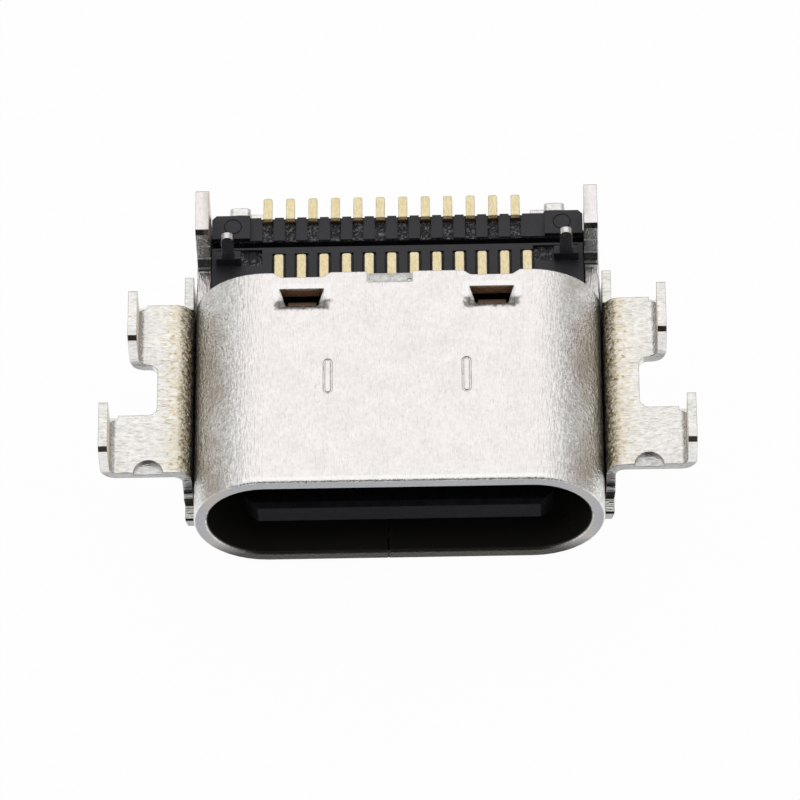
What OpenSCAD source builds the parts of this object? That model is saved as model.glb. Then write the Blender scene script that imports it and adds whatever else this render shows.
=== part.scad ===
// Board-mount socket for a reversible 24-contact plug, board side up.
// X runs across the mouth, Y from the mouth towards the tails, Z up to the board side.
// The origin is the centre of the mouth, on the plug's axis.

/* [Plug opening] */
// Width of the opening that the plug enters
mouth_w = 8.34; // [8.2:0.02:8.5]
// Height of the opening
mouth_h = 2.56; // [2.5:0.02:2.7]
// Bevel round the inner edge of the mouth
mouth_bevel = 0.05; // [0.02:0.01:0.1]

/* [Shell] */
// Thickness of the shell's sheet
shell_t = 0.30; // [0.25:0.01:0.35]
// Length of the closed tube
shell_len = 5.46; // [5:0.05:6]
// Radius on the outer edge of the mouth
lip_r = 0.06; // [0.03:0.01:0.1]
// Width of the fine groove at the butt seam under the tube
seam_w = 0.03; // [0.02:0.01:0.06]
// How far the shell's sides run on behind the tube
side_run = 2.20; // [2.1:0.05:2.4]
// Height of the top edge of those sides above the plug's axis
side_top = 0.30; // [0.1:0.05:0.4]
// Depth along Y of each rear leg
side_leg_d = 1.10; // [0.8:0.01:1.2]
// Distance between the centres of the two locking tabs
lock_spacing = 4.16; // [3.8:0.02:4.4]
// Width of a locking tab's window at its rear edge
lock_w = 0.98; // [0.9:0.01:1.2]

/* [Bracket] */
// Thickness of the bracket's sheet
bracket_t = 0.20; // [0.15:0.01:0.25]
// Gap between the shell's round sides and the bracket
wrap_gap = 0.04; // [0.02:0.01:0.08]
// Height of the soldered faces above the plug's axis
board_z = 0.65; // [0.55:0.01:0.75]
// How far the legs stand above the soldered faces
leg_up = 1.00; // [0.7:0.05:1.2]
// Distance over the outer faces of the front legs
front_legs_w = 12.94; // [12.4:0.02:13.4]
// Distance over the outer faces of the rear legs
rear_legs_w = 11.76; // [11.4:0.02:12.2]
// Distance from the mouth to the flange's front edge
flange_y = 0.91; // [0.85:0.01:1.2]
// Depth along Y of the front arm
front_arm_d = 1.49; // [1.4:0.01:1.7]
// Clear space between the front and rear arms
arm_gap = 1.31; // [1.1:0.01:1.5]
// Depth along Y of the rear arm
rear_arm_d = 1.58; // [1.45:0.01:1.8]
// Width of a front leg
front_leg_d = 1.20; // [1.1:0.01:1.35]
// Width of a rear leg
rear_leg_d = 1.23; // [1.1:0.01:1.35]

/* [Contacts] */
// Contacts in each row
contacts = 12; // [12]
// Distance between neighbouring contacts
pitch = 0.50; // [0.5]
// Thickness of the contact strip
contact_t = 0.10; // [0.08:0.01:0.12]
// Width of a contact on the tongue
blade_w = 0.25; // [0.22:0.01:0.28]
// Width of a soldered tail
tail_w = 0.20; // [0.18:0.01:0.22]
// Sideways step from a contact to its tail
row_shift = 0.125; // [0.1:0.005:0.125]
// Distance from the mouth to the front tails' ends
front_tail_y = 6.60; // [6.5:0.02:6.64]
// Distance from the mouth to the rear tails' ends
rear_tail_y = 8.10; // [8:0.02:8.4]

/* [Tongue] */
// Width of the tongue
tongue_w = 6.69; // [6.6:0.01:6.74]
// Thickness of the tongue
tongue_h = 0.70; // [0.68:0.01:0.74]
// Distance from the mouth to the tongue's tip
tongue_y = 0.19; // [0.1:0.01:0.4]
// Length of the tongue in front of its root
tongue_len = 4.45; // [4.3:0.05:4.5]
// Thickness of the plate inside the tongue
mid_t = 0.15; // [0.12:0.01:0.2]

/* [Housing] */
// Clearance between a moulding and the sheet metal round it
mould_gap = 0.02; // [0.01:0.005:0.03]
// Distance from the mouth to the back of the front block
front_block_y = 6.82; // [6.75:0.01:6.9]
// Clear width of the trench between the two blocks
trench = 0.22; // [0.15:0.01:0.3]
// Distance from the mouth to the back of the rear block
rear_block_y = 7.66; // [7.6:0.01:7.75]
// Distance between the centres of the two upright pins
pin_spacing = 7.47; // [7.3:0.01:7.5]

/* [Hidden] */
$fn = 48;
eps = 0.01;
through = 1;

// Shell
shell_w = mouth_w + 2 * shell_t;
shell_h = mouth_h + 2 * shell_t;
core = (mouth_w - mouth_h) / 2;
shell_bottom = -shell_h / 2;
seam_x = -0.27;
seam_depth = 0.08;
seam_notch = 0.06;
side_y = shell_len + side_run;
side_low = -0.9;
leg_top = board_z + leg_up;
leg_bevel_y = 0.05;
leg_bevel_z = 0.14;
leg_rear_bevel = 0.03;
leg_root = side_top - 0.05;
leg_in = core + sqrt(pow(mouth_h / 2, 2) - pow(side_top, 2));
// steps down the front of a rear leg: height above the side's top edge, depth
foot_steps = [[0.80, 0.04], [0.40, 0.05], [0.08, 0.05]];
foot_r = 0.05;
lock_y = shell_len - 0.43;
lock_d = 0.41;
lock_slant = 0.13;
lock_w_in = 0.62;
lock_t = 0.15;
lock_angle = 32;
lock_hinge = 0.06;
lock_tip = 0.02;
draw_front = 0.12;
draw_rear = 0.22;
draw_side = 0.14;
draw_depth = 0.06;
dip_d = 0.12;
dip_top_w = 1.36;
dip_low_w = 0.84;
dip_steps = 8;
coin_x = -0.15;
coin_w = 1.0;
coin_len = 0.3;
coin_angle = 14;
dot_x = 0.28;
dot_y = shell_len - 0.22;
dot_r = 0.05;
dot_depth = 0.05;
mark_spacing = 3.02;
mark_w = 0.20;
mark_len = 0.90;
mark_y = shell_len / 2;
mark_line = 0.04;
mark_depth = 0.02;

// Bracket
bend_in = 0.20;
bend_out = bend_in + bracket_t;
leg_bend_in = 0.15;
leg_bend_out = leg_bend_in + bracket_t;
wall_in = shell_w / 2 + wrap_gap;
wall_out = wall_in + bracket_t;
bend_x = wall_out + bend_in;
bend_z = board_z - bend_out;
flange_low = board_z - bracket_t;
base_low = shell_bottom - bracket_t;
spine_run = 0.56;
spine_w = wall_out + spine_run;
arm1_y = flange_y + front_arm_d;
arm2_y = arm1_y + arm_gap;
flange_end = arm2_y + rear_arm_d;
notch_r = 0.2;
moon_x = 5.44;
moon_r = 0.32;
moon_depth = 0.09;
rear_leg_inset = 0.08;
nub_y = 0.31;
nub_top = -0.35;
nub_low = -0.59;
nub_bevel = 0.04;
nub_ledge = -0.18;
nub_ledge_w = 0.04;
nub_rise_w = 0.08;
nub_r = 0.12;
tail_wall_run = 0.86;
tail_wall_y = flange_end + tail_wall_run;
tail_wall_top = 0.45;
base_rear_w = 7.5;
rear_lug_w = 0.46;
rear_lug_x = 3.49;
rear_lug_top = 0.62;
rear_lug_r = 0.1;
rear_lug_step_top = 0.36;
rear_lug_step_x = 2.95;
rear_lug_y = rear_block_y + mould_gap;
rear_bend_in = 0.1;

// Contacts
first_x = -(contacts - 1) / 2 * pitch;
blade_top = tongue_h / 2;
blade_low = blade_top - contact_t;
short_tip = 1.25;
long_tip = 0.95;
jog_y = shell_len + 0.09;
jog_end = jog_y + 0.13;
rise_run = 0.28;
tail_low = board_z - contact_t;
rear_rise_y = rear_block_y - 0.15;
tail_r = 0.05;
nose = 0.05;

// Tongue and housing
root_y = tongue_y + tongue_len;
tip_bevel = 0.28;
edge_bevel = 0.1;
step_len = 1.15;
step_h = 0.24;
pad_t = 0.1;
pad_w = 5.6;
mid_w = tongue_w - 1.1;
mid_front = tongue_y + 0.5;
mid_wing = tongue_w + 0.02;
wing_y0 = mid_front + 0.8;
wing_y1 = mid_front + 2.1;
latch_notch = 0.3;
tab_pocket_y = 0.1;
tab_pocket_z = 0.35;
pin_y = 6.375;
pin_w = 0.27;
pin_root = 0.5;
plate_rear = pin_y + mid_t;
boss_w = 0.54;
boss_wall = 0.03;
boss_top = 0.87;
inner_w = mouth_w - 2 * mould_gap;
inner_h = mouth_h - 2 * mould_gap;
block_w = 2 * (leg_in - mould_gap);
block_y = shell_len + mould_gap;
front_block_top = board_z - 0.05;
rear_block_front = front_block_y + trench;
rear_rib_top = board_z - 0.10;
rear_bed = rear_rib_top - 0.06;
bed_side = 0.02;
corner_top = board_z;
corner_x = 3.27;
corner_bevel = 0.1;
slot_side = 0.05;
pocket_x = 3.0;
pocket_edge = 0.12;
pocket_rear = 0.06;
pocket_depth = 0.09;
foot_half = 2.85;
foot_join = 0.2;
wall_join = 0.2;
ejector_r = 0.2;
ejector_line = 0.02;
ejector_x = pin_spacing / 2 - 0.08;
ejector_y = rear_block_y - 0.3;

// ---- shared shapes ----

// Slot shape with full round ends, in the X-Z plane once extruded along Y
module slot(w, h) {
    square([w - h, h], center = true);
    for (s = [-1, 1]) translate([s * (w - h) / 2, 0]) circle(d = h);
}

// Extrudes an X-Z shape along Y
module along_y(y0, y1) {
    translate([0, y1, 0]) rotate([90, 0, 0]) linear_extrude(y1 - y0) children();
}

// Extrudes a Y-Z shape along X
module along_x(x0, x1) {
    translate([x0, 0, 0]) rotate([90, 0, 90]) linear_extrude(x1 - x0) children();
}

// Box from its two far corners
module block(x0, x1, y0, y1, z0, z1) {
    translate([x0, y0, z0]) cube([x1 - x0, y1 - y0, z1 - z0]);
}

// The same piece on both sides of the middle
module both_sides() {
    for (s = [0, 1]) mirror([s, 0, 0]) children();
}

// Quarter ring between two radii, in the quadrant that the signs name
module quarter_ring(r_in, r_out, sx, sy) {
    intersection() {
        difference() {
            circle(r = r_out);
            circle(r = r_in);
        }
        translate([sx > 0 ? 0 : -r_out, sy > 0 ? 0 : -r_out]) square(r_out);
    }
}

// Carries a wall section round the slot-shaped mouth; x is the distance from
// the slot's mid line and y the distance from the mouth
module round_the_mouth() {
    both_sides()
        translate([core, 0, 0]) rotate([-90, -90, 0]) rotate_extrude(angle = 180) children();
    for (s = [0, 1]) mirror([0, 0, s])
        translate([-core, 0, 0]) rotate([90, 0, 90]) linear_extrude(2 * core)
            mirror([1, -1]) children();
}

// ---- shell: one rolled sheet, butted under the tube ----

module wall_section() {
    r0 = mouth_h / 2;
    difference() {
        union() {
            translate([r0, lip_r]) square([shell_t, side_y - lip_r]);
            translate([r0, 0]) square([shell_t - lip_r, lip_r + eps]);
            translate([r0 + shell_t - lip_r, lip_r]) circle(r = lip_r);
        }
        polygon([[r0 - eps, -eps], [r0 + mouth_bevel + eps, -eps], [r0 - eps, mouth_bevel + eps]]);
    }
}

// Front edge of a rear leg below its bevel: each step moves it forward
function step_front(n) = n == 0 ? side_y - side_leg_d : step_front(n - 1) - foot_steps[n - 1][1];

// Side view of a rear leg with its bevelled tip and its stepped front edge
module side_leg_view() {
    count = len(foot_steps);
    difference() {
        union() {
            polygon([
                [step_front(0), leg_root], [side_y, leg_root], [side_y, leg_top - leg_rear_bevel],
                [side_y - leg_rear_bevel, leg_top], [step_front(0) + leg_bevel_y, leg_top],
                [step_front(0), leg_top - leg_bevel_z]
            ]);
            for (n = [1 : count]) translate([step_front(n), leg_root])
                square([foot_steps[n - 1][1] + eps, side_top + foot_steps[n - 1][0] - leg_root]);
            translate([step_front(count) - foot_r, leg_root])
                square([foot_r + eps, side_top + foot_r - leg_root]);
        }
        translate([step_front(count) - foot_r, side_top + foot_r]) circle(r = foot_r);
    }
}

module lock_window() {
    linear_extrude(shell_t + 2 * eps) polygon([
        [-lock_w / 2, 0], [lock_w / 2, 0],
        [lock_w / 2 - lock_slant, -lock_d], [-lock_w / 2 + lock_slant, -lock_d]
    ]);
}

// Tab hinged at the window's front edge and pressed down into the housing
module lock_tab() {
    translate([-lock_w_in / 2, -lock_d - lock_hinge, shell_t / 2]) rotate([-lock_angle, 0, 0])
        translate([0, 0, -lock_t]) cube([lock_w_in, lock_d + lock_tip, lock_t]);
}

// Shallow valley drawn into the sheet across the front of a window
module drawn_edge() {
    half = lock_w / 2 - lock_slant + draw_side;
    along_x(-half, half) polygon([
        [-lock_d - draw_front, shell_t + eps], [-lock_d - draw_front, shell_t],
        [-lock_d, shell_t - draw_depth], [draw_rear - lock_d, shell_t],
        [draw_rear - lock_d, shell_t + eps]
    ]);
}

module lock_at(side) {
    translate([side * lock_spacing / 2, lock_y, mouth_h / 2]) children();
}

// Point k on one flank of a dip in the rear edge, from its end (0) to its floor
function dip_point(side, k) = [
    side * (dip_top_w - (dip_top_w - dip_low_w) * k / dip_steps) / 2,
    eps - (dip_d + eps) * (1 - cos(180 * k / dip_steps)) / 2
];

module mark_outline() {
    difference() {
        rotate(90) slot(mark_len, mark_w);
        rotate(90) slot(mark_len - 2 * mark_line, mark_w - 2 * mark_line);
    }
}

module shell() {
    color("gainsboro") difference() {
        union() {
            difference() {
                round_the_mouth() wall_section();
                // behind the tube only the two sides run on
                block(-shell_w, shell_w, shell_len, side_y + eps, side_top, shell_h);
                block(-core, core, shell_len, side_y + eps, -shell_h, shell_h);
                block(-shell_w, shell_w, shell_len, side_y + eps, -shell_h, side_low);
            }
            both_sides() along_x(leg_in, leg_in + shell_t) side_leg_view();
            for (side = [-1, 1]) lock_at(side) intersection() {
                lock_tab();
                translate([-lock_w, -lock_w, -lock_w]) cube([2 * lock_w, 2 * lock_w, lock_w + shell_t]);
            }
        }
        // butt seam: a fine groove on both faces and a notch at the mouth
        for (z = [shell_bottom, shell_bottom + shell_t])
            block(seam_x - seam_w / 2, seam_x + seam_w / 2,
                  -eps, shell_len + eps, z - seam_depth, z + seam_depth);
        block(seam_x - seam_w / 2, seam_x + seam_w / 2,
              -eps, seam_notch, shell_bottom - eps, shell_bottom + shell_t + eps);
        // windows, with the tabs left standing inside them
        for (side = [-1, 1]) lock_at(side) difference() {
            union() {
                translate([0, 0, -eps]) lock_window();
                drawn_edge();
            }
            lock_tab();
        }
        // dips in the rear edge behind the windows
        for (side = [-1, 1]) lock_at(side) translate([0, shell_len - lock_y, -eps])
            linear_extrude(shell_t + 2 * eps) polygon(concat(
                [for (k = [0 : dip_steps]) dip_point(-1, k)],
                [for (k = [0 : dip_steps]) dip_point(1, dip_steps - k)]
            ));
        // coined flat at the middle of the rear edge, and the dot beside it
        translate([coin_x - coin_w / 2, shell_len - coin_len, shell_h / 2]) rotate([-coin_angle, 0, 0])
            cube([coin_w, through, through]);
        translate([dot_x, dot_y, shell_h / 2 - dot_depth]) cylinder(r = dot_r, h = through);
        // two shallow outlines pressed in the top
        for (side = [-1, 1])
            translate([side * mark_spacing / 2, mark_y, shell_h / 2 - mark_depth])
                linear_extrude(through) mark_outline();
    }
}

// ---- bracket: one folded sheet welded under the shell ----

// Ring of the sheet that wraps the shell, up to the plug's axis
module wrap_section() {
    intersection() {
        difference() {
            slot(shell_w + 2 * wrap_gap + 2 * bracket_t, shell_h + 2 * bracket_t);
            slot(shell_w + 2 * wrap_gap, shell_h);
        }
        translate([-shell_w, -shell_h]) square([2 * shell_w, shell_h]);
    }
}

// Wall above the plug's axis and the bend that turns it outwards, right side
module flange_section() {
    translate([wall_in, -eps]) square([bracket_t, bend_z + eps]);
    translate([bend_x, bend_z]) quarter_ring(bend_in, bend_out, -1, 1);
}

// Flat of the flange seen from above, right side, without the leg bends
module flange_plan() {
    difference() {
        union() {
            translate([bend_x, flange_y])
                square([front_legs_w / 2 - leg_bend_out - bend_x, front_arm_d]);
            translate([bend_x, flange_y]) square([spine_w - bend_x, flange_end - flange_y]);
            translate([bend_x, arm2_y])
                square([rear_legs_w / 2 - leg_bend_out - bend_x, rear_arm_d]);
            translate([spine_w - eps, arm1_y - eps]) square([notch_r + eps, arm_gap + 2 * eps]);
        }
        translate([spine_w + notch_r, arm1_y + notch_r]) circle(r = notch_r);
        translate([spine_w + notch_r, arm2_y - notch_r]) circle(r = notch_r);
        translate([spine_w, arm1_y + notch_r]) square([notch_r + eps, arm_gap - 2 * notch_r]);
        translate([spine_w + notch_r, arm1_y]) square([notch_r, arm_gap]);
    }
}

// Upright leg and the bend that lifts it from the flange, right side
module leg(legs_w, y0, arm_d, leg_y0, leg_d) {
    x_out = legs_w / 2;
    bend_cx = x_out - leg_bend_out;
    bend_cz = board_z + leg_bend_in;
    intersection() {
        union() {
            along_y(y0, y0 + arm_d) translate([bend_cx - eps, flange_low])
                square([eps, bracket_t]);
            along_y(y0, y0 + arm_d) translate([bend_cx, bend_cz])
                quarter_ring(leg_bend_in, leg_bend_out, 1, -1);
            along_y(y0, y0 + arm_d) translate([x_out - bracket_t, bend_cz])
                square([bracket_t, leg_top - bend_cz]);
        }
        along_x(bend_cx - eps, x_out + eps) union() {
            polygon([
                [leg_y0, flange_low], [leg_y0 + leg_d, flange_low],
                [leg_y0 + leg_d, leg_top - leg_rear_bevel],
                [leg_y0 + leg_d - leg_rear_bevel, leg_top],
                [leg_y0 + leg_bevel_y, leg_top], [leg_y0, leg_top - leg_bevel_z]
            ]);
            polygon([
                [y0, flange_low - eps], [y0 + arm_d, flange_low - eps],
                [y0 + arm_d, flange_low + bracket_t / 2],
                [leg_y0 + leg_d, bend_cz], [leg_y0, bend_cz],
                [y0, flange_low + bracket_t / 2]
            ]);
        }
    }
}

// Side view of what is cut from the wrapped sheet in front of the flanges: it leaves
// a small forward stub on each side, with a step in its top edge
module nub_cut_view() {
    ledge_y = flange_y - nub_r;
    rise_y = ledge_y - nub_ledge_w;
    translate([nub_y - eps, base_low - eps])
        square([flange_y - nub_y + eps, nub_low - base_low + eps]);
    polygon([
        [nub_y - eps, eps], [nub_y - eps, nub_top - nub_bevel - eps],
        [nub_y + nub_bevel, nub_top], [rise_y - nub_rise_w, nub_top],
        [rise_y, nub_ledge], [ledge_y, nub_ledge], [ledge_y, eps]
    ]);
    translate([ledge_y, nub_ledge + nub_r]) circle(r = nub_r);
    translate([ledge_y - eps, nub_ledge + nub_r])
        square([nub_r + eps, eps - nub_ledge - nub_r]);
}

// Lug folded up behind the rear block, right side
module rear_lug() {
    t0 = rear_lug_y;
    z_bend = base_low + rear_bend_in + bracket_t;
    translate([0, t0 - rear_bend_in, z_bend]) along_x(rear_lug_step_x, rear_lug_x + rear_lug_w / 2)
        quarter_ring(rear_bend_in, rear_bend_in + bracket_t, 1, -1);
    along_y(t0, t0 + bracket_t) union() {
        translate([rear_lug_step_x, z_bend])
            square([rear_lug_x - rear_lug_step_x, rear_lug_step_top - z_bend]);
        translate([rear_lug_x - rear_lug_w / 2, z_bend])
            square([rear_lug_w, rear_lug_top - rear_lug_r - z_bend]);
        for (s = [-1, 1])
            translate([rear_lug_x + s * (rear_lug_w / 2 - rear_lug_r), rear_lug_top - rear_lug_r])
                circle(r = rear_lug_r);
        translate([rear_lug_x - rear_lug_w / 2 + rear_lug_r, rear_lug_top - rear_lug_r - eps])
            square([rear_lug_w - 2 * rear_lug_r, rear_lug_r + eps]);
    }
}

module bracket() {
    color("lightgray") difference() {
        union() {
            difference() {
                along_y(nub_y, tail_wall_y) wrap_section();
                along_x(-shell_w, shell_w) nub_cut_view();
            }
            both_sides() {
                along_y(flange_y, flange_end) flange_section();
                translate([0, 0, flange_low]) linear_extrude(bracket_t) flange_plan();
                leg(front_legs_w, flange_y, front_arm_d, flange_y, front_leg_d);
                leg(rear_legs_w, arm2_y, rear_arm_d, arm2_y + rear_leg_inset, rear_leg_d);
                block(wall_in, wall_out, flange_end - eps, tail_wall_y, -eps, tail_wall_top);
                rear_lug();
            }
            block(-base_rear_w / 2, base_rear_w / 2, tail_wall_y - eps, rear_lug_y - rear_bend_in,
                  base_low, shell_bottom);
        }
        // half-moon recess at the flange's front edge
        both_sides() translate([moon_x, flange_y, board_z - moon_depth])
            cylinder(r = moon_r, h = through);
        // trimmed tops of the rear walls
        both_sides() block(wall_in - eps, wall_out + eps, flange_end, tail_wall_y + eps,
                           tail_wall_top, board_z + eps);
    }
}

// ---- contacts ----

function contact_x(i) = first_x + (i - 1) * pitch;
function is_long(i) = i == 1 || i == 4 || i == contacts - 3 || i == contacts;
function tip_y(i) = is_long(i) ? long_tip : short_tip;

// Blade on the tongue and the sideways step to the tail's line
module blade(i, shift, z0) {
    x = contact_x(i);
    block(x - blade_w / 2, x + blade_w / 2, tip_y(i), jog_y, z0, z0 + contact_t);
    translate([0, 0, z0]) linear_extrude(contact_t) polygon([
        [x - blade_w / 2, jog_y - eps], [x + blade_w / 2, jog_y - eps],
        [x + shift + tail_w / 2, jog_end], [x + shift - tail_w / 2, jog_end]
    ]);
}

// Flat soldered end with two rounded corners, seen from above
module tail_end(x, y0, y1) {
    translate([0, 0, tail_low]) linear_extrude(contact_t) union() {
        translate([x - tail_w / 2, y0]) square([tail_w, y1 - tail_r - y0]);
        translate([x - tail_w / 2 + tail_r, y1 - tail_r - eps])
            square([tail_w - 2 * tail_r, tail_r + eps]);
        for (s = [-1, 1]) translate([x + s * (tail_w / 2 - tail_r), y1 - tail_r]) circle(r = tail_r);
    }
}

module front_contact(i) {
    x = contact_x(i) + row_shift;
    y_top = jog_end + rise_run;
    color("goldenrod") union() {
        blade(i, row_shift, blade_low);
        along_x(x - tail_w / 2, x + tail_w / 2) polygon([
            [jog_end - eps, blade_low], [jog_end, blade_low], [y_top, tail_low],
            [y_top + contact_t, tail_low], [y_top + contact_t, board_z], [y_top - 0.04, board_z],
            [jog_end - 0.04, blade_top], [jog_end - 0.05, blade_top]
        ]);
        tail_end(x, y_top, front_tail_y);
    }
}

module rear_contact(i) {
    x = contact_x(i) - row_shift;
    color("goldenrod") union() {
        blade(i, -row_shift, -blade_top);
        block(x - tail_w / 2, x + tail_w / 2, jog_end - eps, rear_rise_y + contact_t,
              -blade_top, -blade_low);
        along_x(x - tail_w / 2, x + tail_w / 2) polygon([
            [rear_rise_y, -blade_top], [rear_rise_y + contact_t, -blade_top],
            [rear_rise_y + contact_t, board_z], [rear_rise_y + nose, board_z],
            [rear_rise_y, board_z - nose]
        ]);
        tail_end(x, rear_rise_y + contact_t - eps, rear_tail_y);
    }
}

module all_front_contacts() {
    for (i = [1 : contacts]) front_contact(i);
}

module all_rear_contacts() {
    for (i = [1 : contacts]) rear_contact(i);
}

// ---- plate inside the tongue, with its two upright pins ----

module pin_view() {
    translate([-pin_w / 2, 0]) square([pin_w, leg_top - pin_w / 2]);
    translate([0, leg_top - pin_w / 2]) circle(d = pin_w);
}

module mid_plate() {
    color("silver") union() {
        block(-mid_w / 2, mid_w / 2, mid_front, root_y, -mid_t / 2, mid_t / 2);
        block(-mid_wing / 2, mid_wing / 2, wing_y0, wing_y1, -mid_t / 2, mid_t / 2);
        block(-mid_wing / 2, mid_wing / 2, root_y - eps, plate_rear, -mid_t / 2, mid_t / 2);
        both_sides() {
            block(mid_w / 2, pin_spacing / 2 + pin_w / 2, pin_y - pin_root, plate_rear,
                  -mid_t / 2, mid_t / 2);
            translate([pin_spacing / 2, 0, 0]) along_y(pin_y, plate_rear) pin_view();
        }
    }
}

// ---- ground pads on the tongue's root ----

module root_pad() {
    block(-pad_w / 2, pad_w / 2, root_y - step_len, root_y, blade_top + step_h,
          blade_top + step_h + pad_t);
}

module board_side_pad() {
    color("silver") root_pad();
}

module far_side_pad() {
    color("silver") mirror([0, 0, 1]) root_pad();
}

// ---- tongue moulding: tongue, thick root and the plug that fills the tube ----

module tongue_slab() {
    intersection() {
        translate([0, 0, -tongue_h / 2]) linear_extrude(tongue_h) polygon([
            [-tongue_w / 2 + tip_bevel, tongue_y], [tongue_w / 2 - tip_bevel, tongue_y],
            [tongue_w / 2, tongue_y + tip_bevel], [tongue_w / 2, root_y + eps],
            [-tongue_w / 2, root_y + eps], [-tongue_w / 2, tongue_y + tip_bevel]
        ]);
        along_x(-tongue_w, tongue_w) polygon([
            [tongue_y, -tongue_h / 2 + edge_bevel], [tongue_y + edge_bevel, -tongue_h / 2],
            [root_y + through, -tongue_h / 2], [root_y + through, tongue_h / 2],
            [tongue_y + edge_bevel, tongue_h / 2], [tongue_y, tongue_h / 2 - edge_bevel]
        ]);
    }
}

module tongue() {
    color([0.09, 0.09, 0.1]) difference() {
        union() {
            tongue_slab();
            block(-tongue_w / 2, tongue_w / 2, root_y - step_len, root_y + eps,
                  -tongue_h / 2 - step_h, tongue_h / 2 + step_h);
            along_y(root_y, shell_len) slot(inner_w, inner_h);
        }
        mid_plate();
        all_front_contacts();
        all_rear_contacts();
        // side notches that the plug's latches close behind
        both_sides() block(mid_wing / 2 - latch_notch, tongue_w, wing_y0, wing_y1,
                           -tongue_h, tongue_h);
        // pockets for the shell's locking tabs
        for (side = [-1, 1])
            block(side * lock_spacing / 2 - lock_w / 2, side * lock_spacing / 2 + lock_w / 2,
                  root_y - eps, lock_y + tab_pocket_y, mouth_h / 2 - tab_pocket_z, mouth_h);
    }
}

// ---- front block: carries the contacts whose tails lie just behind the shell ----

module front_block() {
    color([0.11, 0.11, 0.12]) difference() {
        union() {
            difference() {
                block(-block_w / 2, block_w / 2, block_y, front_block_y, mid_t / 2, front_block_top);
                // rough pockets round the upright pins
                both_sides() block(pocket_x, block_w / 2 - pocket_edge, pin_y - boss_wall,
                                   front_block_y - pocket_rear, front_block_top - pocket_depth,
                                   board_z);
            }
            // bosses that the pins come out of
            both_sides() block(pin_spacing / 2 - boss_w / 2, pin_spacing / 2 + boss_w / 2,
                               pin_y - boss_wall, plate_rear + boss_wall, mid_t, boss_top);
        }
        mid_plate();
        all_front_contacts();
        // open slots round the tails
        for (i = [1 : contacts])
            block(contact_x(i) + row_shift - tail_w / 2 - slot_side,
                  contact_x(i) + row_shift + tail_w / 2 + slot_side,
                  jog_end + rise_run, front_tail_y + slot_side, tail_low, board_z);
    }
}

// ---- rear block: lower carrier, with the wall that the rear tails lie on ----

module rear_block() {
    color([0.11, 0.11, 0.12]) difference() {
        union() {
            // floor inside the shell's sides
            along_y(block_y, rear_block_y) intersection() {
                slot(inner_w, inner_h);
                translate([-inner_w, -inner_h]) square([2 * inner_w, inner_h - mid_t / 2]);
            }
            // foot that stands on the bracket
            block(-foot_half, foot_half, block_y, rear_block_y, shell_bottom, foot_join - inner_h / 2);
            // wall behind the trench
            block(-block_w / 2, block_w / 2, rear_block_front, rear_block_y,
                  -mid_t / 2 - wall_join, rear_rib_top);
            both_sides() linear_extrude(corner_top) polygon([
                [corner_x, rear_block_front], [block_w / 2, rear_block_front],
                [block_w / 2, rear_block_y - corner_bevel],
                [block_w / 2 - corner_bevel, rear_block_y],
                [corner_x, rear_block_y]
            ]);
        }
        all_rear_contacts();
        // bevel of the outer rear corners over the whole height
        both_sides() translate([0, 0, -mid_t]) linear_extrude(through) polygon([
            [block_w / 2, rear_block_y - corner_bevel], [block_w, rear_block_y - corner_bevel],
            [block_w, rear_block_y + eps], [block_w / 2 - corner_bevel - eps, rear_block_y + eps]
        ]);
        // bed in front of each tail, and the slot that it lies in
        for (i = [1 : contacts]) {
            x = contact_x(i) - row_shift;
            block(x - tail_w / 2 - bed_side, x + tail_w / 2 + bed_side, rear_block_front - eps,
                  rear_rise_y, rear_bed, board_z);
            block(x - tail_w / 2 - slot_side, x + tail_w / 2 + slot_side, rear_rise_y + contact_t,
                  rear_block_y + eps, rear_bed, board_z);
        }
        // ejector marks
        both_sides() translate([ejector_x, ejector_y, corner_top - ejector_line])
            difference() {
                cylinder(r = ejector_r, h = through);
                translate([0, 0, -eps]) cylinder(r = ejector_r - ejector_line, h = through);
            }
    }
}

shell();
bracket();
mid_plate();
tongue();
front_block();
rear_block();
board_side_pad();
far_side_pad();
for (i = [1 : contacts]) {
    front_contact(i);
    rear_contact(i);
}
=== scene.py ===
import math
import bpy
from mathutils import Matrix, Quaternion, Vector


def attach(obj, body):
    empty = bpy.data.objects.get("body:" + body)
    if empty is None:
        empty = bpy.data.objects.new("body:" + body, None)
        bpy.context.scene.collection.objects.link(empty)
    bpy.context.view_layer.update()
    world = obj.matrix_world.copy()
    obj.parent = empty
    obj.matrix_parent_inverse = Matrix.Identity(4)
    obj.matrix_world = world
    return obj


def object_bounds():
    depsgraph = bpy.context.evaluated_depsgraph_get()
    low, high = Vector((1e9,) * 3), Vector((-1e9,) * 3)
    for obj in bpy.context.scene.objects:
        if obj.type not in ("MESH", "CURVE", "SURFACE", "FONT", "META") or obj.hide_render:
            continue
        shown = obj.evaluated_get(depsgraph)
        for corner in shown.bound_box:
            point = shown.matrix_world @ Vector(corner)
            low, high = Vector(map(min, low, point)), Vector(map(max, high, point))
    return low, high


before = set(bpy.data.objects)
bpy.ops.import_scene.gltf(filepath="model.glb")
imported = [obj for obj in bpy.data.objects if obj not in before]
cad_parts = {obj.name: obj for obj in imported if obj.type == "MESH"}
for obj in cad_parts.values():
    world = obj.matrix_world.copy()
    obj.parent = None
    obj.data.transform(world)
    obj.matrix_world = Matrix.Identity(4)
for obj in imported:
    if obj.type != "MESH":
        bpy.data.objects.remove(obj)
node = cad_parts
cad_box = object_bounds()
MM = 0.001


# ---- Shell ----
# Rolled stainless sheet, nickel plated and left satin: fine grain on the flat top,
# orange peel where the sheet was rolled round the two ends of the slot.
# It is pushed over the mouldings and held by its two pressed-in tabs.

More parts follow.
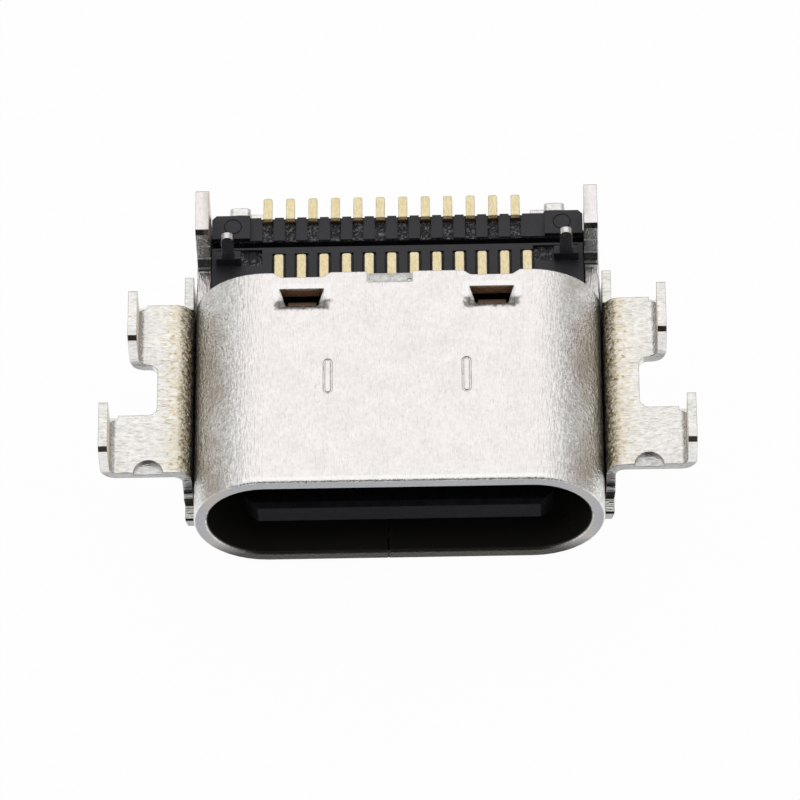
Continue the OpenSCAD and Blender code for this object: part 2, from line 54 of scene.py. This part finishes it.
# places and lengths in millimetres; a box is its centre, its half size and its soft border
tube_core = 2.89
tube_inner_r = 1.28
tube_wall_start = (tube_inner_r + 0.025, tube_inner_r + 0.01)
leg_foot_y = 0.5
leg_clear_of_flange = (0.68, 0.74)
leg_tip = (1.40, 1.46)
stub_top = -0.02
stub_front_y = 0.25
step_start_y = 5.8
side_band = (3.55, 3.90)
side_band_end = (4.30, 4.10)
lip_box = (0.0, 0.06, 1.60), (4.3, 0.09, 0.12), 0.01
mouth_end = (0.45, 0.35)
low_rim_z = (-0.8, -1.3)
window_box = (2.08, 4.825, 1.36), (0.57, 0.27, 0.17), 0.02
window_corner_shade_box = (2.08, 4.62, 1.58), (0.72, 0.24, 0.3), 0.22
window_highlight_box = (2.08, 4.90, 1.58), (0.66, 0.28, 0.3), 0.04
window_drawn_box = (2.08, 4.70, 1.58), (0.80, 0.34, 0.2), 0.1
window_front = (4.86, 4.74)
window_rear = (4.72, 4.86)
coin_outline_box = (-0.15, 5.31, 1.58), (0.49, 0.155, 0.3), 0.03
coin_floor_box = (-0.15, 5.31, 1.58), (0.44, 0.11, 0.3), 0.03
sheet_edge_r = 0.03
drawn_edge_r = 0.11

tube_painted_shade = (0.035, 0.034, 0.030)
side_shade_brown = (0.50, 0.455, 0.40)
lip_painted_highlight = (0.97, 0.96, 0.94)
low_rim_painted_shade = (0.034, 0.031, 0.022)
window_wall_shade = (0.40, 0.26, 0.17)
corner_shade_grey = (0.20, 0.19, 0.17)
rim_painted_highlight = (0.97, 0.96, 0.95)
coin_outline_grey = (0.40, 0.41, 0.39)
coin_floor_grey = (0.86, 0.87, 0.85)
edge_shade_grey = (0.38, 0.375, 0.38)


def new_group(name, inputs, outputs):
    """An empty shader group; inputs are (name, value) pairs, outputs are (name, type) pairs."""
    group = bpy.data.node_groups.new(name, "ShaderNodeTree")
    for label, value in inputs:
        kind = "NodeSocketVector" if isinstance(value, tuple) else "NodeSocketFloat"
        socket = group.interface.new_socket(label, in_out="INPUT", socket_type=kind)
        socket.default_value = value
    for label, kind in outputs:
        group.interface.new_socket(label, in_out="OUTPUT", socket_type=kind)
    ends = group.nodes.new("NodeGroupInput"), group.nodes.new("NodeGroupOutput")
    return group, ends[0], ends[1]


def add(tree, kind, inputs=None, **settings):
    """One node; inputs gives plain values or sockets to link, by name or index."""
    made = tree.nodes.new(kind)
    for key, value in settings.items():
        setattr(made, key, value)
    for key, value in (inputs or {}).items():
        socket = made.inputs[key]
        if isinstance(value, bpy.types.NodeSocket):
            tree.links.new(value, socket)
        else:
            socket.default_value = value
    return made


def math_node(tree, operation, *values, clamp=False):
    made = add(tree, "ShaderNodeMath", dict(enumerate(values)), operation=operation)
    made.use_clamp = clamp
    return made.outputs[0]


def times(tree, *values):
    """Product of two or more values."""
    product = values[0]
    for value in values[1:]:
        product = math_node(tree, "MULTIPLY", product, value)
    return product


def other(tree, share):
    """What is left of a share: 1 minus it."""
    return math_node(tree, "SUBTRACT", 1.0, share)


def vector_node(tree, operation, *values):
    return add(tree, "ShaderNodeVectorMath", dict(enumerate(values)), operation=operation).outputs[0]


def ramp(tree, value, span, to=(0.0, 1.0)):
    """Runs from the first to the second figure of `to` as the value crosses the span, held at both ends."""
    return add(tree, "ShaderNodeMapRange",
               {"Value": value, "From Min": span[0], "From Max": span[1],
                "To Min": to[0], "To Max": to[1]}).outputs[0]


def split(tree, vector):
    return add(tree, "ShaderNodeSeparateXYZ", {0: vector}).outputs


def noise(tree, place, **inputs):
    """Noise texture; its inputs are given by name, with _ for a space."""
    named = {key.replace("_", " "): value for key, value in inputs.items()}
    return add(tree, "ShaderNodeTexNoise", {"Vector": place, **named}).outputs["Fac"]


def place_in_mm(tree):
    """The piece's own coordinates, which are those of the whole socket, in millimetres."""
    place = add(tree, "ShaderNodeTexCoord").outputs["Object"]
    return vector_node(tree, "MULTIPLY", place, (1 / MM, 1 / MM, 1 / MM))


def face_normal(tree):
    return split(tree, add(tree, "ShaderNodeNewGeometry").outputs["True Normal"])


def box_group():
    """1 inside a box given by its centre and half size in millimetres, 0 outside."""
    group, start, end = new_group(
        "inside_box", [("Place", (0.0, 0.0, 0.0)), ("Centre", (0.0, 0.0, 0.0)), ("Half", (1.0, 1.0, 1.0)),
                       ("Soft", 0.02)],
        [("Mask", "NodeSocketFloat")])
    away = vector_node(group, "SUBTRACT", start.outputs["Place"], start.outputs["Centre"])
    room = split(group, vector_node(group, "SUBTRACT", start.outputs["Half"],
                                    vector_node(group, "ABSOLUTE", away)))
    least = math_node(group, "MINIMUM", math_node(group, "MINIMUM", room[0], room[1]), room[2])
    mask = math_node(group, "DIVIDE", least, start.outputs["Soft"], clamp=True)
    group.links.new(mask, end.inputs["Mask"])
    return group


def box_mask(tree, place, centre, half, soft):
    made = add(tree, "ShaderNodeGroup", {}, node_tree=inside_box)
    made.inputs["Centre"].default_value = centre
    made.inputs["Half"].default_value = half
    made.inputs["Soft"].default_value = soft
    tree.links.new(place, made.inputs["Place"])
    return made.outputs[0]


def sheet_surface_group():
    """Rolled and plated sheet: drawn-out grain on flats, peel on bends, bare cut edges."""
    group, start, end = new_group(
        "rolled_sheet_surface",
        [("Stretch", (1.0, 1.0, 1.0)), ("Grain size", 0.05), ("Peel size", 0.12), ("Peel depth", 1.0)],
        [("Place", "NodeSocketVector"), ("Height", "NodeSocketFloat"), ("Bend", "NodeSocketFloat"),
         ("Mottle", "NodeSocketFloat"), ("Speck", "NodeSocketFloat"), ("Cut", "NodeSocketFloat"),
         ("Slope shade", "NodeSocketFloat"), ("Peel", "NodeSocketFloat")])
    place = place_in_mm(group)
    drawn = vector_node(group, "MULTIPLY", place, start.outputs["Stretch"])
    grain = noise(group, drawn, Scale=math_node(group, "DIVIDE", 1.0, start.outputs["Grain size"]),
                  Detail=1.5, Roughness=0.6)
    peel = noise(group, place, Scale=math_node(group, "DIVIDE", 1.0, start.outputs["Peel size"]),
                 Detail=1.5, Roughness=0.6, Distortion=0.6)
    mottle = noise(group, place, Scale=1.3, Detail=4.0, Roughness=0.65)
    spot = split(group, place)
    facing = face_normal(group)
    level = math_node(group, "ABSOLUTE", facing["Z"])
    endwise = math_node(group, "ABSOLUTE", facing["Y"])
    # bends face neither straight up nor straight sideways
    bend = times(group, ramp(group, level, (0.999, 0.86)), other(group, ramp(group, endwise, (0.3, 0.7))),
                 ramp(group, level, (0.02, 0.10)))
    # cut edges are dull and get a darker tone, part of which is painted shade on faces turned to the front;
    # the legs' front edges stay bright
    behind_mouth = math_node(group, "GREATER_THAN", spot["Y"], leg_foot_y)
    upright = times(group, ramp(group, spot["Z"], leg_clear_of_flange, (0.0, 0.85)), behind_mouth)
    cut = times(group, ramp(group, endwise, (0.80, 0.95)), other(group, upright))
    # painted shade: the sloped tips of the legs, the stubs and the fronts of the stepped legs, which turn
    # towards the dark
    sloped = times(group, ramp(group, level, (0.12, 0.22)), ramp(group, endwise, (0.55, 0.7)))
    tips = times(group, ramp(group, spot["Z"], leg_tip), behind_mouth)
    stubs = times(group, math_node(group, "LESS_THAN", spot["Z"], stub_top),
                  math_node(group, "GREATER_THAN", spot["Y"], stub_front_y))
    sloped = times(group, sloped, math_node(group, "MAXIMUM", tips, stubs))
    steps = times(group, cut, math_node(group, "GREATER_THAN", spot["Y"], step_start_y),
                  math_node(group, "LESS_THAN", facing["Y"], 0.0), 0.85)
    fine = times(group, grain, 0.45)
    coarse = times(group, peel, times(group, bend, start.outputs["Peel depth"]))
    results = {"Place": place, "Height": math_node(group, "ADD", fine, coarse), "Bend": bend,
               "Mottle": mottle, "Speck": times(group, math_node(group, "ADD", grain, peel), 0.5),
               "Cut": cut, "Slope shade": math_node(group, "MAXIMUM", sloped, steps), "Peel": peel}
    for label, value in results.items():
        group.links.new(value, end.inputs[label])
    return group


def new_material(name):
    """A material with its Principled shader, ready to wire."""
    material = bpy.data.materials.new(name)
    material.use_nodes = True
    return material, material.node_tree, material.node_tree.nodes["Principled BSDF"]


def mix_colour(tree, share, low, high):
    """Goes from the low colour to the high one as the share goes from 0 to 1."""
    made = add(tree, "ShaderNodeMix", data_type="RGBA")
    for socket, value in ((made.inputs[0], share), (made.inputs[6], low), (made.inputs[7], high)):
        if isinstance(value, bpy.types.NodeSocket):
            tree.links.new(value, socket)
        else:
            socket.default_value = value if isinstance(value, float) else (*value, 1.0)
    return made.outputs[2]


def edge_line(tree, soft, share=0.8):
    """Mask of the softened edges: where the softened normal leaves the face's own."""
    own = add(tree, "ShaderNodeNewGeometry").outputs["Normal"]
    same = add(tree, "ShaderNodeVectorMath", {0: own, 1: soft.outputs[0]},
               operation="DOT_PRODUCT").outputs["Value"]
    return ramp(tree, same, (0.99, 0.86), (0.0, share))


def sheet_material(name, flat, bent, cut, slope_shade, stretch, grain, peel, peel_depth, depth, rough, edge,
                   contrast=0.12, scale=0.3):
    """Plated sheet: tones for flats, bends, cut edges and painted shade on sloped tips, relief, softened
    edges with painted shade.

    Contrast is how far the grain darkens the tone, scale how far the peel does on the bends.
    """
    material, tree, shader = new_material(name)
    surface = add(tree, "ShaderNodeGroup", {}, node_tree=sheet_surface)
    surface.inputs["Stretch"].default_value = stretch
    surface.inputs["Grain size"].default_value = grain
    surface.inputs["Peel size"].default_value = peel
    surface.inputs["Peel depth"].default_value = peel_depth
    out = surface.outputs
    tone = mix_colour(tree, out["Bend"], flat, bent)
    tone = mix_colour(tree, out["Cut"], tone, cut)
    # painted shade on the sloped tips, stubs and stepped fronts
    tone = mix_colour(tree, out["Slope shade"], tone, slope_shade)
    spots = times(tree, ramp(tree, out["Mottle"], (0.35, 0.65)), contrast * 0.3)
    specks = ramp(tree, out["Speck"], (0.60, 0.38), (-contrast * 0.6, contrast))
    scales = times(tree, ramp(tree, out["Peel"], (0.60, 0.38), (-scale * 0.5, scale)), out["Bend"])
    shade = math_node(tree, "SUBTRACT", other(tree, spots), math_node(tree, "ADD", specks, scales))
    tone = vector_node(tree, "SCALE", tone)
    tree.links.new(shade, tone.node.inputs["Scale"])
    soft = add(tree, "ShaderNodeBevel", {"Radius": edge * MM}, samples=6)
    # painted shade along the softened edges
    tone = mix_colour(tree, edge_line(tree, soft), tone, edge_shade_grey)
    relief = add(tree, "ShaderNodeBump",
                 {"Strength": 1.0, "Distance": depth * MM, "Height": out["Height"],
                  "Normal": soft.outputs[0]})
    shader.inputs["Metallic"].default_value = 1.0
    tree.links.new(ramp(tree, out["Mottle"], (0.3, 0.7), (rough - 0.05, rough + 0.05)),
                   shader.inputs["Roughness"])
    tree.links.new(relief.outputs[0], shader.inputs["Normal"])
    tree.links.new(tone, shader.inputs["Base Color"])
    return material, tree, shader, soft, out, tone, relief


def dress(name, material):
    """Puts one material on a CAD node."""
    piece = node[name]
    piece.data.materials.clear()
    piece.data.materials.append(material)


def shell_material():
    """Satin steel with painted shade in the tube, on the lower rim and in the windows, painted highlights on
    the lip and window rims, and a coined flat.
    """
    material, tree, shader, soft, out, tone, relief = sheet_material(
        "shell_satin_steel", flat=(0.92, 0.885, 0.875), bent=(0.86, 0.855, 0.84), cut=(0.42, 0.425, 0.45),
        slope_shade=(0.06, 0.055, 0.05), stretch=(1.7, 0.35, 1.0), grain=0.075, peel=0.085, peel_depth=0.8,
        depth=0.05, rough=0.32, edge=sheet_edge_r, contrast=0.07, scale=0.16)
    place = out["Place"]
    parts = split(tree, place)
    sideways = math_node(tree, "ABSOLUTE", parts["X"])
    mirrored = add(tree, "ShaderNodeCombineXYZ", {0: sideways, 1: parts["Y"], 2: parts["Z"]}).outputs[0]

    # painted shade, brownish, in a band down each rounded side
    band = times(tree, ramp(tree, sideways, side_band), ramp(tree, sideways, side_band_end),
                 ramp(tree, out["Mottle"], (0.38, 0.62), (0.15, 0.75)))
    tone = mix_colour(tree, band, tone, side_shade_brown)

    # the lip: a painted highlight along the top edge, painted shade on the lower rim below
    lip = times(tree, box_mask(tree, place, *lip_box), other(tree, out["Cut"]))
    tone = mix_colour(tree, lip, tone, lip_painted_highlight)
    low_rim = times(tree, ramp(tree, parts["Z"], low_rim_z, (0.0, 0.93)), ramp(tree, parts["Y"], mouth_end))
    tone = mix_colour(tree, low_rim, tone, low_rim_painted_shade)

    # painted shade on the inner wall, found by its distance from the slot's middle line
    past = math_node(tree, "MAXIMUM", math_node(tree, "SUBTRACT", sideways, tube_core), 0.0)
    section = add(tree, "ShaderNodeCombineXYZ", {0: past, 1: parts["Z"], 2: 0.0}).outputs[0]
    reach = add(tree, "ShaderNodeVectorMath", {0: section}, operation="LENGTH").outputs["Value"]
    inside = ramp(tree, reach, tube_wall_start)
    tone = mix_colour(tree, inside, tone, tube_painted_shade)

    # windows: painted shade on the brown walls and round the front corners, a painted highlight on the rim
    # behind
    window = box_mask(tree, mirrored, *window_box)
    tone = mix_colour(tree, window, tone, window_wall_shade)
    sheet_face = other(tree, window)
    patchy_noise = noise(tree, vector_node(tree, "MULTIPLY", place, (9.0, 9.0, 9.0)), Scale=1.0, Detail=1.5)
    corner_shade = math_node(tree, "ADD", box_mask(tree, mirrored, *window_corner_shade_box), patchy_noise)
    corner_shade = times(tree, ramp(tree, corner_shade, (0.85, 1.20), (0.0, 0.85)), ramp(tree, parts["Y"], window_front),
                  sheet_face)
    tone = mix_colour(tree, corner_shade, tone, corner_shade_grey)
    rim = times(tree, box_mask(tree, mirrored, *window_highlight_box), sheet_face,
                ramp(tree, parts["Y"], window_rear, (0.0, 0.8)))
    tone = mix_colour(tree, rim, tone, rim_painted_highlight)

    # the coined flat: grey outline, streaked floor
    tone = mix_colour(tree, times(tree, box_mask(tree, place, *coin_outline_box), 0.6), tone,
                      coin_outline_grey)
    streaks = ramp(tree, patchy_noise, (0.42, 0.58), (0.25, 0.9))
    tone = mix_colour(tree, times(tree, box_mask(tree, place, *coin_floor_box), streaks), tone,
                      coin_floor_grey)

    tree.links.new(tone, shader.inputs["Base Color"])
    dull = times(tree, math_node(tree, "MAXIMUM", window, inside), 0.7)
    tree.links.new(other(tree, dull), shader.inputs["Metallic"])
    tree.links.new(other(tree, inside), relief.inputs["Strength"])
    edge_r = ramp(tree, box_mask(tree, mirrored, *window_drawn_box), (0.0, 1.0),
                  (sheet_edge_r, drawn_edge_r))
    tree.links.new(times(tree, edge_r, MM), soft.inputs["Radius"])
    return material


inside_box = box_group()
sheet_surface = sheet_surface_group()
dress("shell", shell_material())


# ---- Seam ----
# A thin web of steel at the bottom of the notch where the sheet's two ends meet under
# the mouth; it closes the notch, so that nothing bright shows through it.

seam_web_x = (-0.285, -0.255)
seam_web_y = (0.035, 0.06)
seam_web_z = (-1.575, -1.29)


def new_box(name, x, y, z):
    """A closed box mesh from its ranges in millimetres."""
    corners = [(a * MM, b * MM, c * MM) for a in x for b in y for c in z]
    faces = [(0, 1, 3, 2), (4, 6, 7, 5), (0, 4, 5, 1), (2, 3, 7, 6), (0, 2, 6, 4), (1, 5, 7, 3)]
    mesh = bpy.data.meshes.new(name)
    mesh.from_pydata(corners, [], faces)
    made = bpy.data.objects.new(name, mesh)
    bpy.context.scene.collection.objects.link(made)
    return made


seam_web = new_box("seam_web", seam_web_x, seam_web_y, seam_web_z)
seam_web.data.materials.append(node["shell"].data.materials[0])
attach(seam_web, "root")


# ---- Bracket ----
# Thinner sheet folded round the tube's underside and welded to it; the flanges and legs
# carry the same plating over a coarser rolled surface that turns warm at the bends.

flange_front = (0.93, 0.99)
flange_end = 5.33
bend_height = (0.05, 0.38)
warm_start = (5.20, 4.70)
warm_limit = (5.38, 5.15)
gap_shade_start = (4.84, 4.54)
gap_shade_limit = (5.15, 5.0)
moon_box = (5.60, 1.0, 0.53), (0.5, 0.36, 0.10), 0.01
leg_start_z = (0.66, 0.8)
scale_turn = 0.5

bend_gold = (0.80, 0.70, 0.50)
gap_shade_dark = (0.11, 0.08, 0.03)
moon_grey = (0.52, 0.52, 0.52)
leg_gold = (0.70, 0.58, 0.40)


def bracket_material():
    """Plated steel, golden and scaly at the bends beside the shell, with painted shade in the gap."""
    material, tree, shader, _, out, tone, _ = sheet_material(
        "bracket_plated_steel", flat=(0.92, 0.90, 0.865), bent=(0.66, 0.66, 0.65), cut=(0.46, 0.455, 0.45),
        slope_shade=(0.05, 0.04, 0.035), stretch=(0.35, 1.5, 1.0), grain=0.075, peel=0.10, peel_depth=1.0,
        depth=0.05, rough=0.30, edge=0.03, contrast=0.11, scale=0.12)
    parts = split(tree, out["Place"])
    away = math_node(tree, "ABSOLUTE", parts["X"])
    mirrored = add(tree, "ShaderNodeCombineXYZ", {0: away, 1: parts["Y"], 2: parts["Z"]}).outputs[0]

    # scales, short in the length of the bend and turned a little
    drawn = vector_node(tree, "MULTIPLY", out["Place"], (9.0, 13.0, 9.0))
    turned = add(tree, "ShaderNodeVectorRotate",
                 {"Vector": drawn, "Axis": (0.0, 0.0, 1.0), "Angle": scale_turn}).outputs[0]
    scales = noise(tree, turned, Scale=1.0, Detail=1.0, Distortion=0.5)
    ragged = math_node(tree, "MULTIPLY_ADD", scales, 1.0, -0.5)
    beside_shell = times(tree, ramp(tree, parts["Y"], flange_front),
                         ramp(tree, parts["Y"], (flange_end, flange_end - 0.05)),
                         ramp(tree, parts["Z"], bend_height))
    warm = math_node(tree, "MULTIPLY_ADD", ragged, 3.2, ramp(tree, away, warm_start))
    warm = times(tree, math_node(tree, "MULTIPLY", warm, 1.0, clamp=True),
                 ramp(tree, away, warm_limit, (0.0, 0.85)))
    tone = mix_colour(tree, times(tree, warm, beside_shell), tone, bend_gold)
    # painted shade in the gap between the bends and the shell
    dark = math_node(tree, "MULTIPLY_ADD", ragged, 3.0, ramp(tree, away, gap_shade_start, (-0.3, 0.9)))
    dark = times(tree, math_node(tree, "MULTIPLY", dark, 1.0, clamp=True),
                 ramp(tree, away, gap_shade_limit, (0.0, 0.85)))
    tone = mix_colour(tree, times(tree, dark, beside_shell), tone, gap_shade_dark)

    # the recess in the front edge of each flange
    moon = times(tree, box_mask(tree, mirrored, *moon_box), ramp(tree, scales, (0.35, 0.6), (0.3, 0.75)))
    tone = mix_colour(tree, moon, tone, moon_grey)

    # golden inner faces of the legs
    inward = times(tree, face_normal(tree)["X"], math_node(tree, "SIGN", parts["X"]))
    inner_face = times(tree, ramp(tree, inward, (-0.7, -0.9), (0.0, 0.8)),
                       ramp(tree, parts["Z"], leg_start_z))
    tone = mix_colour(tree, inner_face, tone, leg_gold)
    tree.links.new(tone, shader.inputs["Base Color"])
    return material


dress("bracket", bracket_material())


# ---- Plate in the tongue and ground pads ----
# Stamped bright steel; only the two upright pins of the plate show, and the pads
# lie on both sides of the tongue's root.

plate_steel = sheet_material(
    "stamped_plate_steel", flat=(0.78, 0.77, 0.76), bent=(0.55, 0.54, 0.52), cut=(0.30, 0.30, 0.30),
    slope_shade=(0.30, 0.30, 0.30), stretch=(1.0, 1.0, 1.0), grain=0.04, peel=0.08, peel_depth=0.5,
    depth=0.008, rough=0.26, edge=0.02)[0]
for name in ("mid_plate", "board_side_pad", "far_side_pad"):
    dress(name, plate_steel)


# ---- Mouldings ----
# Black glass-filled moulding, matt, with a skin of fine pits; sunk areas came off the
# mould rough and catch the light in scratches and flakes.

sunk_bed_box = (0.0, 6.98, 0.49), (4.1, 0.66, 0.035), 0.01
tube_end_y = (5.40, 5.30)
moulding_edge_r = 0.03
moulding_relief = 0.02

moulding_black = (0.018, 0.018, 0.023)
moulding_worn = (0.034, 0.034, 0.043)
flake_grey = (0.26, 0.26, 0.27)
tongue_shade_black = (0.003, 0.003, 0.004)
tongue_side_shade_black = (0.001, 0.001, 0.001)


def moulding_material():
    """Black moulding with flakes in its sunk beds, and painted shade and a duller sheen on the part inside
    the tube.
    """
    material, tree, shader = new_material("black_moulding")
    place = place_in_mm(tree)
    parts = split(tree, place)
    pits = noise(tree, place, Scale=22.0, Detail=3.0)
    cloud = noise(tree, place, Scale=3.0, Detail=4.0)
    flakes = noise(tree, place, Scale=13.0, Detail=2.0, Roughness=0.7, Distortion=1.2)
    tone = mix_colour(tree, ramp(tree, cloud, (0.4, 0.7)), moulding_black, moulding_worn)

    # sunk beds and pockets, left rough
    sunk = box_mask(tree, place, *sunk_bed_box)
    tone = mix_colour(tree, times(tree, sunk, ramp(tree, flakes, (0.50, 0.64))), tone, flake_grey)

    # painted shade: the tongue lies in the dark of the tube, darkest on its sides
    tone = mix_colour(tree, ramp(tree, parts["Y"], tube_end_y, (0.0, 0.60)), tone, tongue_shade_black)
    side = math_node(tree, "ABSOLUTE", face_normal(tree)["X"])
    side = times(tree, ramp(tree, side, (0.15, 0.3), (0.0, 0.95)), ramp(tree, parts["Y"], tube_end_y))
    tone = mix_colour(tree, side, tone, tongue_side_shade_black)
    tree.links.new(tone, shader.inputs["Base Color"])
    tree.links.new(ramp(tree, cloud, (0.3, 0.7), (0.40, 0.56)), shader.inputs["Roughness"])
    tree.links.new(ramp(tree, parts["Y"], tube_end_y, (0.5, 0.06)), shader.inputs["Specular IOR Level"])

    soft = add(tree, "ShaderNodeBevel", {"Radius": moulding_edge_r * MM}, samples=6)
    height = math_node(tree, "ADD", times(tree, pits, 0.5),
                       times(tree, flakes, ramp(tree, sunk, (0.0, 1.0), (0.4, 4.0))))
    relief = add(tree, "ShaderNodeBump", {"Strength": 1.0, "Distance": moulding_relief * MM,
                                          "Height": height, "Normal": soft.outputs[0]})
    tree.links.new(relief.outputs[0], shader.inputs["Normal"])
    return material


moulding = moulding_material()
for name in ("tongue", "front_block", "rear_block"):
    dress(name, moulding)


# ---- Contacts ----
# Stamped copper-alloy strip plated with thin pale gold, matt on the soldered faces,
# with faint lines along the strip and a warmer tone in the cut edges.

contact_edge_r = 0.03
contact_relief = 0.02

gold_low = (0.86, 0.74, 0.45)
gold_high = (0.94, 0.86, 0.58)
gold_line = (0.74, 0.56, 0.30)
gold_edge_shade = (0.50, 0.44, 0.34)
gold_side = (0.48, 0.27, 0.08)


def gold_material():
    """Pale gold, clouded and lined, with grey-brown painted shade along the edges and orange-brown cut sides.
    """
    material, tree, shader = new_material("contact_gold")
    place = place_in_mm(tree)
    lines = noise(tree, vector_node(tree, "MULTIPLY", place, (1.5, 0.4, 1.0)), Scale=22.0, Detail=3.0)
    cloud = noise(tree, place, Scale=5.0, Detail=3.0)
    soft = add(tree, "ShaderNodeBevel", {"Radius": contact_edge_r * MM}, samples=6)
    tone = mix_colour(tree, ramp(tree, cloud, (0.35, 0.65)), gold_low, gold_high)
    tone = mix_colour(tree, ramp(tree, lines, (0.42, 0.60), (0.0, 0.5)), tone, gold_line)
    # painted shade along the softened edges
    tone = mix_colour(tree, edge_line(tree, soft), tone, gold_edge_shade)
    cut_side = math_node(tree, "ABSOLUTE", face_normal(tree)["Z"])
    tone = mix_colour(tree, ramp(tree, cut_side, (0.8, 0.5), (0.0, 0.85)), tone, gold_side)
    tree.links.new(tone, shader.inputs["Base Color"])
    shader.inputs["Metallic"].default_value = 1.0
    tree.links.new(ramp(tree, cloud, (0.3, 0.7), (0.30, 0.42)), shader.inputs["Roughness"])
    relief = add(tree, "ShaderNodeBump", {"Strength": 1.0, "Distance": contact_relief * MM,
                                          "Height": lines, "Normal": soft.outputs[0]})
    tree.links.new(relief.outputs[0], shader.inputs["Normal"])
    return material


gold = gold_material()
for name in node:
    if "contact" in name:
        dress(name, gold)


# ---- Floor, light and camera ----
# A pale floor under the bracket's flat plate, one wide soft lamp behind and above, a pale
# tent of light round the part, and a long lens looking down over the mouth.

floor_size = 0.6
floor_glow = 0.97
lamp_place = Vector((0.0, 0.12, 0.16))
lamp_aim = Vector((0.0, 0.004, 0.0))
lamp_size = (0.26, 0.18)
lamp_power = 0.048
tent_tint = (1.0, 0.99, 0.985, 1.0)
tent_heights = (-0.1, 0.6)
tent_levels = (0.52, 0.72)
room_way = (0.0, -0.77, 0.64)
room_edge = (0.70, 0.88)
room_level = 0.06
view_angles = (1.852, 56.653, -2.533)
view_distance = 147.17
view_aim = (0.026, 3.112, 0.0)
view_lens = 301.83
view_sensor = 36.0
view_clip = (0.01, 5.0)


def floor_material():
    """Matt pale floor that looks white to the camera and in reflections."""
    material, tree, shader = new_material("pale_floor")
    shader.inputs["Base Color"].default_value = (0.9, 0.9, 0.9, 1.0)
    shader.inputs["Roughness"].default_value = 0.9
    glow = add(tree, "ShaderNodeEmission", {"Color": (1.0, 1.0, 1.0, 1.0), "Strength": 1.0})
    rays = add(tree, "ShaderNodeLightPath")
    seen = math_node(tree, "MAXIMUM", rays.outputs["Is Camera Ray"], rays.outputs["Is Glossy Ray"])
    seen = math_node(tree, "MAXIMUM", seen, rays.outputs["Is Transmission Ray"])
    mixed = add(tree, "ShaderNodeMixShader",
                {0: times(tree, seen, floor_glow), 1: shader.outputs[0], 2: glow.outputs[0]})
    tree.links.new(mixed.outputs[0], tree.nodes["Material Output"].inputs["Surface"])
    return material


bpy.ops.mesh.primitive_plane_add(size=floor_size, location=(0.0, 0.0, cad_box[0].z))
floor = bpy.context.object
floor.name = "floor"
floor.data.materials.append(floor_material())

overhead = bpy.data.objects.new("overhead", bpy.data.lights.new("overhead", "AREA"))
overhead.data.shape = "RECTANGLE"
overhead.data.size, overhead.data.size_y = lamp_size
overhead.data.energy = lamp_power
overhead.location = lamp_place
overhead.rotation_euler = (lamp_aim - lamp_place).to_track_quat("-Z", "Y").to_euler()
bpy.context.scene.collection.objects.link(overhead)


def studio_world():
    """Pale tent: bright above and behind, grey low down, dark where the room shows in front."""
    world = bpy.data.worlds.new("studio")
    world.use_nodes = True
    tree = world.node_tree
    way = add(tree, "ShaderNodeTexCoord").outputs["Generated"]
    level = ramp(tree, split(tree, way)["Z"], tent_heights, tent_levels)
    front = add(tree, "ShaderNodeVectorMath", {0: way, 1: room_way}, operation="DOT_PRODUCT").outputs["Value"]
    level = times(tree, level, ramp(tree, front, room_edge, (1.0, room_level)))
    back_light = tree.nodes["Background"]
    back_light.inputs["Color"].default_value = tent_tint
    tree.links.new(level, back_light.inputs["Strength"])
    return world


bpy.context.scene.world = studio_world()

azimuth, elevation, roll = (math.radians(angle) for angle in view_angles)
aim = Vector(view_aim) * MM
back = Vector((math.sin(azimuth) * math.cos(elevation), -math.cos(azimuth) * math.cos(elevation),
               math.sin(elevation)))
camera = bpy.data.objects.new("camera", bpy.data.cameras.new("camera"))
camera.data.lens = view_lens
camera.data.sensor_width = view_sensor
camera.data.clip_start, camera.data.clip_end = view_clip
camera.location = aim + back * view_distance * MM
camera.rotation_mode = "QUATERNION"
camera.rotation_quaternion = (-back).to_track_quat("-Z", "Y") @ Quaternion((0, 0, 1), roll)
bpy.context.scene.collection.objects.link(camera)
bpy.context.scene.camera = camera
bpy.context.scene.view_settings.view_transform = "Standard"
